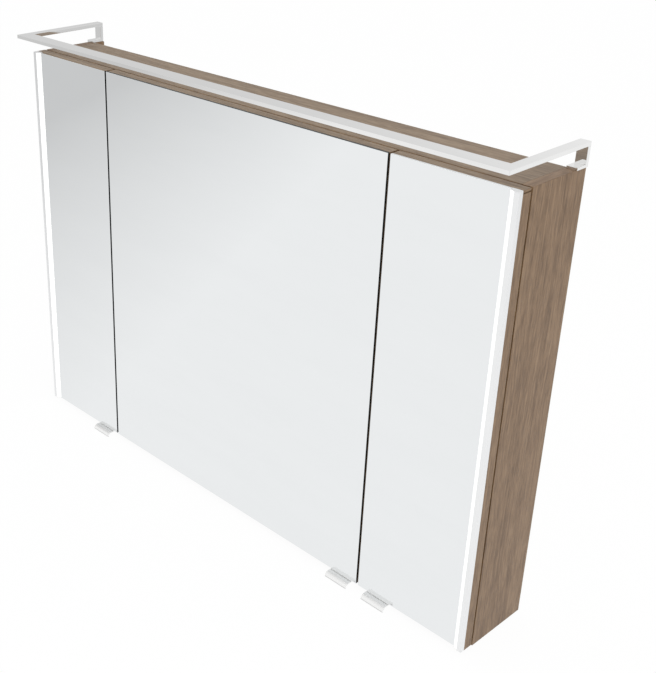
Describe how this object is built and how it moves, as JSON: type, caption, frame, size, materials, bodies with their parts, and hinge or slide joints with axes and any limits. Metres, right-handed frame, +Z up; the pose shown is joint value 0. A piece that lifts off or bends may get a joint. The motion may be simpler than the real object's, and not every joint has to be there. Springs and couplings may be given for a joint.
{
  "type": "bathroom mirror cabinet",
  "caption": "Wall-hung mirror cabinet in brown oak decor with mirror doors, upright edge lights and a slim light canopy on rear brackets",
  "frame": {"origin": "on the wall plane, midway between the two wall hanger holes", "axes": "+X to the right as seen from the front, +Y back into the wall, +Z up"},
  "size_m": [1.004, 0.175, 0.7398],
  "materials": {
    "oak_decor": "brown oak decor with fine upright grain, satin",
    "back_board": "white painted fibre board, matt",
    "beech": "plain beech dowel",
    "mirror_glass": "silvered mirror glass with ground edges",
    "shelf_glass": "clear float glass with polished edges",
    "polished_bar": "polished bright flat bar",
    "anodised": "fine satin anodised",
    "opal": "opal diffuser, satin",
    "led_board": "white light strip",
    "hinge_steel": "nickel plated steel",
    "zinc_steel": "zinc plated steel",
    "white_plastic": "white moulded plastic, fine texture",
    "rocker_plastic": "white rocker, glossy",
    "grey_plastic": "grey moulded plastic",
    "black_rubber": "soft black rubber",
    "clear_rubber": "clear soft stop"
  },
  "bodies": {
    "carcass": {"access_caps": "white_plastic", "back_panel": "back_board", "bottom_panel": "oak_decor", "cable_grommet": "black_rubber", "canopy_arm_left": "polished_bar", "canopy_arm_right": "polished_bar", "canopy_bracket_left": "polished_bar", "canopy_bracket_right": "polished_bar", "canopy_diffuser": "opal", "canopy_front_bar": "polished_bar", "canopy_light_strip": "led_board", "canopy_pins": "zinc_steel", "carcass_dowels": "beech", "glass_shelves": "shelf_glass", "hinge_arms": "hinge_steel", "hinge_plates": "hinge_steel", "hinge_screws": "zinc_steel", "light_driver": "white_plastic", "partition_left": "oak_decor", "partition_right": "oak_decor", "rear_screws": "zinc_steel", "shelf_pins": "hinge_steel", "side_panel_left": "oak_decor", "side_panel_right": "oak_decor", "switch_box": "white_plastic", "switch_screws": "zinc_steel", "top_panel": "oak_decor", "wall_hanger_left": "zinc_steel", "wall_hanger_right": "zinc_steel"},
    "left_door": {"door_board_left": "oak_decor", "door_bumpers_left": "clear_rubber", "door_mirror_left": "mirror_glass", "door_screws_left": "zinc_steel", "grip_strip_left": "polished_bar", "hinge_cups_left": "hinge_steel", "hinge_pins_left": "hinge_steel", "light_diffuser_left": "opal", "light_profile_left": "anodised", "light_strip_left": "led_board", "profile_end_caps_left": "grey_plastic"},
    "centre_door": {"door_board_centre": "oak_decor", "door_bumpers_centre": "clear_rubber", "door_mirror_centre": "mirror_glass", "door_screws_centre": "zinc_steel", "grip_strip_centre": "polished_bar", "hinge_cups_centre": "hinge_steel", "hinge_pins_centre": "hinge_steel"},
    "right_door": {"door_board_right": "oak_decor", "door_bumpers_right": "clear_rubber", "door_mirror_right": "mirror_glass", "door_screws_right": "zinc_steel", "grip_strip_right": "polished_bar", "hinge_cups_right": "hinge_steel", "hinge_pins_right": "hinge_steel", "light_diffuser_right": "opal", "light_profile_right": "anodised", "light_strip_right": "led_board", "profile_end_caps_right": "grey_plastic"},
    "rocker": {"rocker_switch": "rocker_plastic"}
  },
  "joints": [
    {"name": "left_door_hinge", "type": "hinge", "parent": "carcass", "child": "left_door", "pos_m": [-0.492, -0.132, 0], "axis": [0, 0, -1], "range_deg": [0, 95]},
    {"name": "centre_door_hinge", "type": "hinge", "parent": "carcass", "child": "centre_door", "pos_m": [-0.29, -0.132, 0], "axis": [0, 0, -1], "range_deg": [0, 95]},
    {"name": "right_door_hinge", "type": "hinge", "parent": "carcass", "child": "right_door", "pos_m": [0.492, -0.132, 0], "axis": [0, 0, 1], "range_deg": [0, 95]},
    {"name": "rocker_tilt", "type": "hinge", "parent": "carcass", "child": "rocker", "pos_m": [0.368, -0.1095, 0.0315], "axis": [1, 0, 0], "range_deg": [0, 12]}
  ]
}
